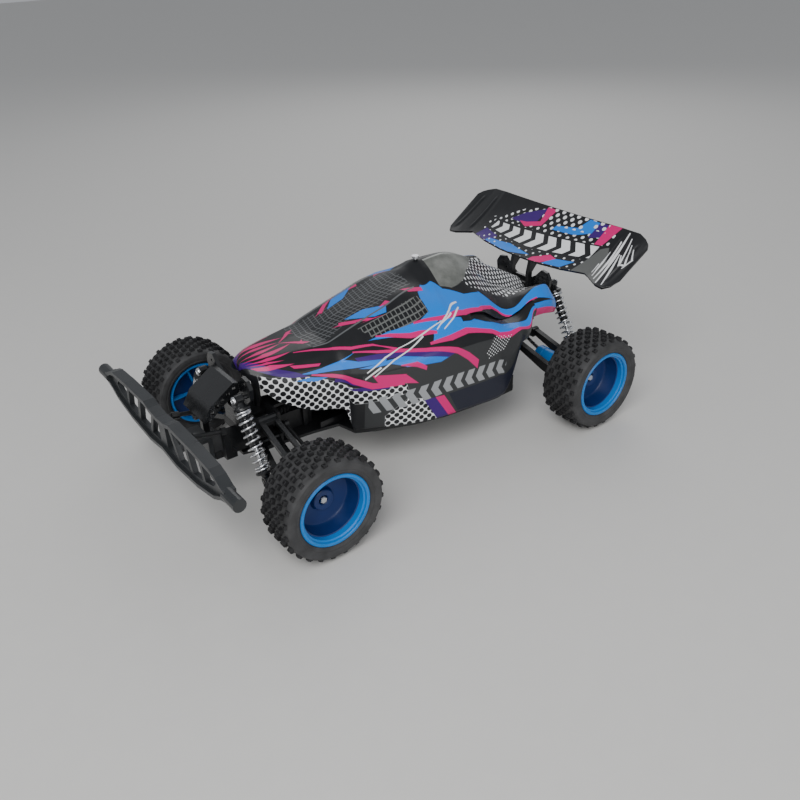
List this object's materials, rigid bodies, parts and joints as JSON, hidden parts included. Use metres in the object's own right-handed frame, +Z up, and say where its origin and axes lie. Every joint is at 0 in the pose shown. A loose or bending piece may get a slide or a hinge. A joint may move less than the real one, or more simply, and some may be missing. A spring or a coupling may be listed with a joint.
{
  "type": "remote control car",
  "caption": "Off-road toy buggy with knobbed tyres, double wishbone front suspension, sprung rear arms, rack steering, geared rear drive, printed body shell and a high rear wing.",
  "frame": {"origin": "on the ground, under the middle of the overall length and width", "axes": "+X towards the front bumper, +Y to the car's left, +Z up"},
  "size_m": [0.417, 0.25, 0.1535],
  "materials": {
    "black_nylon": "moulded black nylon, fine grain",
    "grey_nylon": "dark grey moulded nylon, satin",
    "printed_body": "black glossy body with blue, pink and purple graphics",
    "blue_nylon": "light blue moulded nylon, semi gloss",
    "tyre_rubber": "black knobbed rubber",
    "bright_steel": "bright plated steel",
    "brass_gear": "turned brass",
    "white_nylon": "natural nylon gear plastic",
    "cell_wrap": "green shrink wrap",
    "circuit_board": "green circuit board with components"
  },
  "bodies": {
    "chassis": {"chassis_tub": "black_nylon", "front_bulkhead": "black_nylon", "front_top_plate": "black_nylon", "front_shock_tower": "black_nylon", "front_cover": "black_nylon", "front_bumper": "grey_nylon", "bumper_post_left": "bright_steel", "bumper_post_right": "bright_steel", "rear_gearbox_left": "black_nylon", "rear_gearbox_right": "black_nylon", "rear_shock_tower": "black_nylon", "drive_motor": "bright_steel", "battery_pack": "cell_wrap", "receiver_board": "circuit_board", "steering_servo": "black_nylon", "body_shell": "printed_body", "body_screw": "bright_steel", "wing": "printed_body", "wing_mount": "black_nylon"},
    "battery_hatch": {"battery_door": "black_nylon", "battery_door_screw": "bright_steel"},
    "switch_slider": {"power_switch": "grey_nylon"},
    "motor_pinion": {"motor_pinion": "brass_gear"},
    "drive_gear": {"drive_gear": "white_nylon"},
    "steering_rack": {"steering_rack": "white_nylon"},
    "servo_gear": {"servo_gear": "white_nylon"},
    "left_lower_arm": {"front_lower_arm_left": "black_nylon"},
    "left_upper_arm": {"front_upper_arm_left": "black_nylon"},
    "left_hub_carrier": {"front_hub_carrier_left": "black_nylon"},
    "left_knuckle": {"front_knuckle_left": "black_nylon"},
    "left_track_rod": {"track_rod_left": "black_nylon"},
    "left_front_wheel": {"front_rim_left": "blue_nylon", "front_tyre_left": "tyre_rubber"},
    "left_front_shock_body": {"front_shock_cylinder_left": "black_nylon", "front_spring_left": "bright_steel"},
    "left_front_shock_rod": {"front_shock_rod_left": "bright_steel"},
    "left_rear_arm": {"rear_arm_left": "black_nylon"},
    "left_rear_wheel": {"rear_rim_left": "blue_nylon", "rear_tyre_left": "tyre_rubber"},
    "left_rear_shock_body": {"rear_shock_cylinder_left": "black_nylon", "rear_spring_left": "bright_steel"},
    "left_rear_shock_rod": {"rear_shock_rod_left": "bright_steel"},
    "left_drive_shaft": {"drive_shaft_left": "bright_steel"},
    "right_lower_arm": {"front_lower_arm_right": "black_nylon"},
    "right_upper_arm": {"front_upper_arm_right": "black_nylon"},
    "right_hub_carrier": {"front_hub_carrier_right": "black_nylon"},
    "right_knuckle": {"front_knuckle_right": "black_nylon"},
    "right_track_rod": {"track_rod_right": "black_nylon"},
    "right_front_wheel": {"front_rim_right": "blue_nylon", "front_tyre_right": "tyre_rubber"},
    "right_front_shock_body": {"front_shock_cylinder_right": "black_nylon", "front_spring_right": "bright_steel"},
    "right_front_shock_rod": {"front_shock_rod_right": "bright_steel"},
    "right_rear_arm": {"rear_arm_right": "black_nylon"},
    "right_rear_wheel": {"rear_rim_right": "blue_nylon", "rear_tyre_right": "tyre_rubber"},
    "right_rear_shock_body": {"rear_shock_cylinder_right": "black_nylon", "rear_spring_right": "bright_steel"},
    "right_rear_shock_rod": {"rear_shock_rod_right": "bright_steel"},
    "right_drive_shaft": {"drive_shaft_right": "bright_steel"}
  },
  "joints": [
    {"name": "left_front_suspension", "type": "hinge", "parent": "chassis", "child": "left_lower_arm", "pos_m": [0.132, 0.024, 0.05], "axis": [1, 0, 0], "range_deg": [0, 16], "stiffness_Nm_per_rad": 1.5, "springref_deg": -14.32},
    {"name": "left_upper_arm_hinge", "type": "hinge", "parent": "chassis", "child": "left_upper_arm", "pos_m": [0.135, 0.028, 0.072], "axis": [1, 0, 0], "range_deg": [0, 16]},
    {"name": "left_hub_carrier_hinge", "type": "hinge", "parent": "left_lower_arm", "child": "left_hub_carrier", "pos_m": [0.1355, 0.078, 0.036], "axis": [1, 0, 0], "range_deg": [-16, 0]},
    {"name": "steering", "type": "hinge", "parent": "left_hub_carrier", "child": "left_knuckle", "pos_m": [0.1355, 0.086, 0.0425], "axis": [0, 0, 1], "range_deg": [-22, 22]},
    {"name": "left_front_wheel_spin", "type": "hinge", "parent": "left_knuckle", "child": "left_front_wheel", "pos_m": [0.1355, 0.106, 0.0425], "axis": [0, 1, 0], "continuous": true},
    {"name": "left_front_shock_pivot", "type": "hinge", "parent": "chassis", "child": "left_front_shock_body", "pos_m": [0.1544, 0.029, 0.097], "axis": [1, 0, 0], "range_deg": [0, 6.5]},
    {"name": "left_front_shock_stroke", "type": "slide", "parent": "left_front_shock_body", "child": "left_front_shock_rod", "axis": [0, -0.491, 0.8712], "range_m": [0, 0.0085], "deforming": ["front_spring_left"]},
    {"name": "left_rear_suspension", "type": "hinge", "parent": "chassis", "child": "left_rear_arm", "pos_m": [-0.1415, 0.024, 0.054], "axis": [1, 0, 0], "range_deg": [0, 10], "stiffness_Nm_per_rad": 1.5, "springref_deg": -14.32},
    {"name": "left_rear_shock_pivot", "type": "hinge", "parent": "chassis", "child": "left_rear_shock_body", "pos_m": [-0.1696, 0.029, 0.099], "axis": [1, 0, 0], "range_deg": [0, 4.5]},
    {"name": "left_rear_shock_stroke", "type": "slide", "parent": "left_rear_shock_body", "child": "left_rear_shock_rod", "axis": [0, -0.5014, 0.8652], "range_m": [0, 0.0055], "deforming": ["rear_spring_left"]},
    {"name": "rear_axle_spin", "type": "hinge", "parent": "left_rear_arm", "child": "left_rear_wheel", "pos_m": [-0.1415, 0.106, 0.0425], "axis": [0, 1, 0], "continuous": true},
    {"name": "left_drive_shaft_spin", "type": "hinge", "parent": "left_rear_arm", "child": "left_drive_shaft", "pos_m": [-0.1415, 0.024, 0.054], "axis": [0, 0.934, -0.3573], "continuous": true},
    {"name": "right_front_suspension", "type": "hinge", "parent": "chassis", "child": "right_lower_arm", "pos_m": [0.132, -0.024, 0.05], "axis": [-1, 0, 0], "range_deg": [0, 16], "stiffness_Nm_per_rad": 1.5, "springref_deg": -14.32},
    {"name": "right_upper_arm_hinge", "type": "hinge", "parent": "chassis", "child": "right_upper_arm", "pos_m": [0.135, -0.028, 0.072], "axis": [-1, 0, 0], "range_deg": [0, 16]},
    {"name": "right_hub_carrier_hinge", "type": "hinge", "parent": "right_lower_arm", "child": "right_hub_carrier", "pos_m": [0.1355, -0.078, 0.036], "axis": [-1, 0, 0], "range_deg": [-16, 0]},
    {"name": "right_knuckle_pivot", "type": "hinge", "parent": "right_hub_carrier", "child": "right_knuckle", "pos_m": [0.1355, -0.086, 0.0425], "axis": [0, 0, 1], "range_deg": [-22.5, 22.5]},
    {"name": "right_front_wheel_spin", "type": "hinge", "parent": "right_knuckle", "child": "right_front_wheel", "pos_m": [0.1355, -0.106, 0.0425], "axis": [0, 1, 0], "continuous": true},
    {"name": "right_front_shock_pivot", "type": "hinge", "parent": "chassis", "child": "right_front_shock_body", "pos_m": [0.1544, -0.029, 0.097], "axis": [-1, 0, 0], "range_deg": [0, 6.5]},
    {"name": "right_front_shock_stroke", "type": "slide", "parent": "right_front_shock_body", "child": "right_front_shock_rod", "axis": [0, 0.491, 0.8712], "range_m": [0, 0.0085], "deforming": ["front_spring_right"]},
    {"name": "right_rear_suspension", "type": "hinge", "parent": "chassis", "child": "right_rear_arm", "pos_m": [-0.1415, -0.024, 0.054], "axis": [-1, 0, 0], "range_deg": [0, 10], "stiffness_Nm_per_rad": 1.5, "springref_deg": -14.32},
    {"name": "right_rear_shock_pivot", "type": "hinge", "parent": "chassis", "child": "right_rear_shock_body", "pos_m": [-0.1696, -0.029, 0.099], "axis": [-1, 0, 0], "range_deg": [0, 4.5]},
    {"name": "right_rear_shock_stroke", "type": "slide", "parent": "right_rear_shock_body", "child": "right_rear_shock_rod", "axis": [0, 0.5014, 0.8652], "range_m": [0, 0.0055], "deforming": ["rear_spring_right"]},
    {"name": "right_rear_wheel_spin", "type": "hinge", "parent": "right_rear_arm", "child": "right_rear_wheel", "pos_m": [-0.1415, -0.106, 0.0425], "axis": [0, 1, 0], "continuous": true},
    {"name": "right_drive_shaft_spin", "type": "hinge", "parent": "right_rear_arm", "child": "right_drive_shaft", "pos_m": [-0.1415, -0.024, 0.054], "axis": [0, 0.934, 0.3573], "continuous": true},
    {"name": "steering_rack_travel", "type": "slide", "parent": "chassis", "child": "steering_rack", "axis": [0, 1, 0], "range_m": [-0.0069, 0.0069]},
    {"name": "servo_gear_turn", "type": "hinge", "parent": "chassis", "child": "servo_gear", "pos_m": [0.1076, 0, 0.055], "axis": [0, 0, 1], "range_deg": [-49, 49]},
    {"name": "left_track_rod_hinge", "type": "hinge", "parent": "steering_rack", "child": "left_track_rod", "pos_m": [0.118, 0.028, 0.061], "axis": [1, 0, 0], "range_deg": [0, 16]},
    {"name": "right_track_rod_hinge", "type": "hinge", "parent": "steering_rack", "child": "right_track_rod", "pos_m": [0.118, -0.028, 0.061], "axis": [-1, 0, 0], "range_deg": [0, 16]},
    {"name": "drive_gear_spin", "type": "hinge", "parent": "chassis", "child": "drive_gear", "pos_m": [-0.1415, 0, 0.054], "axis": [0, 1, 0], "continuous": true},
    {"name": "motor_pinion_spin", "type": "hinge", "parent": "chassis", "child": "motor_pinion", "pos_m": [-0.135, 0, 0.0678], "axis": [0, 1, 0], "continuous": true},
    {"name": "battery_door_hinge", "type": "hinge", "parent": "chassis", "child": "battery_hatch", "pos_m": [-0.06, 0, 0.0396], "axis": [0, 1, 0], "range_deg": [0, 80]},
    {"name": "power_switch_travel", "type": "slide", "parent": "chassis", "child": "switch_slider", "axis": [1, 0, 0], "range_m": [0, 0.004]}
  ],
  "couplings": [
    {"joint": "left_upper_arm_hinge", "follows": "left_front_suspension", "ratio": 1},
    {"joint": "left_hub_carrier_hinge", "follows": "left_front_suspension", "ratio": -1},
    {"joint": "left_front_shock_pivot", "follows": "left_front_suspension", "ratio": 0.3767},
    {"joint": "left_front_shock_stroke", "follows": "left_front_suspension", "m_per_rad": 0.02906},
    {"joint": "left_rear_shock_pivot", "follows": "left_rear_suspension", "ratio": 0.4052},
    {"joint": "left_rear_shock_stroke", "follows": "left_rear_suspension", "m_per_rad": 0.02796},
    {"joint": "left_drive_shaft_spin", "follows": "rear_axle_spin", "ratio": 1},
    {"joint": "right_upper_arm_hinge", "follows": "right_front_suspension", "ratio": 1},
    {"joint": "right_hub_carrier_hinge", "follows": "right_front_suspension", "ratio": -1},
    {"joint": "right_front_shock_pivot", "follows": "right_front_suspension", "ratio": 0.3767},
    {"joint": "right_front_shock_stroke", "follows": "right_front_suspension", "m_per_rad": 0.02906},
    {"joint": "right_rear_shock_pivot", "follows": "right_rear_suspension", "ratio": 0.4052},
    {"joint": "right_rear_shock_stroke", "follows": "right_rear_suspension", "m_per_rad": 0.02796},
    {"joint": "right_drive_shaft_spin", "follows": "rear_axle_spin", "ratio": 1},
    {"joint": "right_rear_wheel_spin", "follows": "rear_axle_spin", "ratio": 1},
    {"joint": "right_knuckle_pivot", "follows": "steering", "ratio": 1},
    {"joint": "steering_rack_travel", "follows": "steering", "m_per_rad": -0.0175},
    {"joint": "servo_gear_turn", "follows": "steering", "ratio": -2.1875},
    {"joint": "left_track_rod_hinge", "follows": "left_front_suspension", "ratio": 1},
    {"joint": "right_track_rod_hinge", "follows": "right_front_suspension", "ratio": 1},
    {"joint": "drive_gear_spin", "follows": "rear_axle_spin", "ratio": 1},
    {"joint": "motor_pinion_spin", "follows": "rear_axle_spin", "ratio": -2.8}
  ]
}
